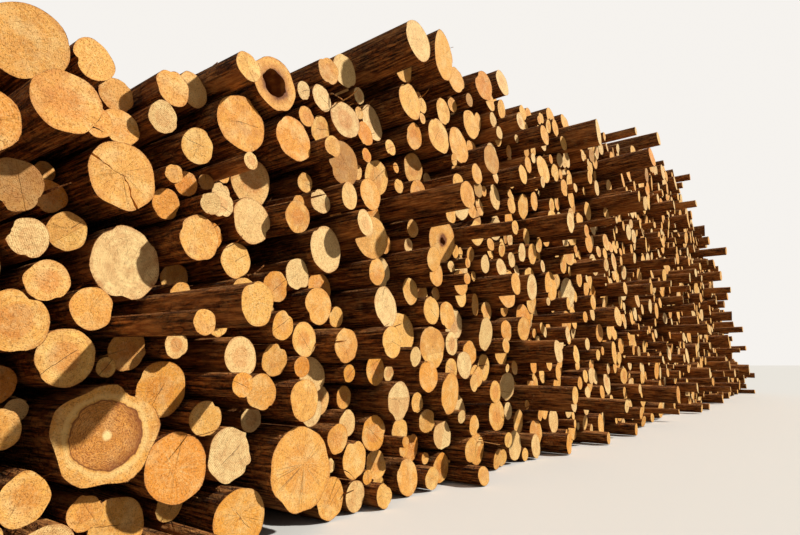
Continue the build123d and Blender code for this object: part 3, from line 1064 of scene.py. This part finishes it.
def shape_log(name, log, chance):
    """One shaped log: a fine copy, carved, with its grain worked out afterwards."""
    places = lay_log(fine, log, chance, GROOVES.get(name))
    piece = make_piece(name, places, fine.corners, fine.starts, fine.materials)
    piece.data.materials.append(bark_material)
    piece.data.materials.append(SPECIAL_WOOD.get(name, wood_material))
    carve(piece, CUTTERS[name](log) if name in CUTTERS else [])
    places = read_all(piece.data.vertices, "co", np.float32, 3).reshape(-1, 3).astype(float)
    grain, rim = grain_of(places, log, chance)
    write_attributes(piece.data, grain, rim, np.tile(LOOKS[name], (len(grain), 1)))
    return piece


for name in SHAPED:
    pieces[name] = shape_log(name, logs_of[name][0], chance)
    print(name, len(pieces[name].data.polygons), "faces")

# %% [markdown]
# Each piece now gets bark in its first material slot and wood in its second, unless it has them, and is
# shaded smooth up to an angle that keeps the saw cut's edge sharp. It takes the place of its plain node.

# %% Dress the stack
SHARP_FROM = math.radians(50)

for name, piece in pieces.items():
    if not piece.data.materials:
        piece.data.materials.append(bark_material)
        piece.data.materials.append(wood_material)
    only(piece)
    bpy.ops.object.shade_smooth_by_angle(angle=SHARP_FROM)
    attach(piece, "root")
    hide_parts(name)
print("dressed", len(pieces), "nodes")

# %% [markdown]
# The studio is plain. The camera sees a pale floor, but the light that the floor throws back up is that of
# darker ground, because a pale floor would light the deep gaps between the logs, which are nearly black on
# the real stack. A Light Path node tells the two apart.

# %% Floor
FLOOR_SIZE = 1600
FLOOR_LEVEL = -0.002
FLOOR_SEEN = (225, 223, 219)
FLOOR_THROWN_BACK = (116, 106, 94)

bpy.ops.object.select_all(action="DESELECT")
bpy.ops.mesh.primitive_plane_add(size=FLOOR_SIZE, location=(0, 0, FLOOR_LEVEL))
floor = bpy.context.object
floor.name = "studio_floor"
floor_finish = Finish("studio_floor")
seen_by_camera = floor_finish.out(floor_finish.node("LightPath"), "Is Camera Ray")
floor_colour = floor_finish.mix(seen_by_camera, colour(*FLOOR_THROWN_BACK), colour(*FLOOR_SEEN))
floor_finish.join(floor_colour, "Base Color")
floor_finish.shader.inputs["Roughness"].default_value = 0.9
floor.data.materials.append(floor_finish.material)
print("floor", FLOOR_SIZE, "m wide")

# %% [markdown]
# One warm key light from the right in front of the face gives the ends their glow and their slightly soft
# shadows. It is a sun lamp, so it lights the whole length alike, which an area lamp near the left end would
# not. A dim surround fills the shadows, and it looks bright only where the camera sees it.

# %% Light
KEY_DIRECTION = (math.radians(57), 0, math.radians(33))
KEY_STRENGTH = 4.5
KEY_COLOUR = (1.0, 0.97, 0.91)
KEY_WIDTH = math.radians(2)
SURROUND_COLOUR = (1.0, 0.97, 0.93, 1.0)
SURROUND_STRENGTH = 0.31
BACKDROP_STRENGTH = 0.92

world = bpy.data.worlds.new("studio")
bpy.context.scene.world = world
world.use_nodes = True
surround = world.node_tree.nodes["Background"]
surround.inputs["Color"].default_value = SURROUND_COLOUR
path = world.node_tree.nodes.new("ShaderNodeLightPath")
seen = Value(world.node_tree, path.outputs["Is Camera Ray"])
strength = seen * (BACKDROP_STRENGTH - SURROUND_STRENGTH) + SURROUND_STRENGTH
world.node_tree.links.new(strength.socket, surround.inputs["Strength"])
bpy.ops.object.light_add(type="SUN", rotation=KEY_DIRECTION)
key = bpy.context.object
key.data.energy = KEY_STRENGTH
key.data.color = KEY_COLOUR
key.data.angle = KEY_WIDTH
bpy.context.scene.view_settings.view_transform = "Standard"
print("key light", KEY_STRENGTH, "surround", SURROUND_STRENGTH)

# %% [markdown]
# The camera is a wide one, held at chest height and tipped up, a few metres in front of the left end.

# %% Camera
bpy.ops.object.camera_add(location=CAMERA_AT)
camera = bpy.context.object
camera.rotation_euler = (CAMERA_PITCH, 0, CAMERA_HEADING)
camera.data.lens = CAMERA_LENS
camera.data.clip_end = CAMERA_RANGE
bpy.context.scene.camera = camera
print("camera", [round(v, 2) for v in camera.location], "lens", CAMERA_LENS)
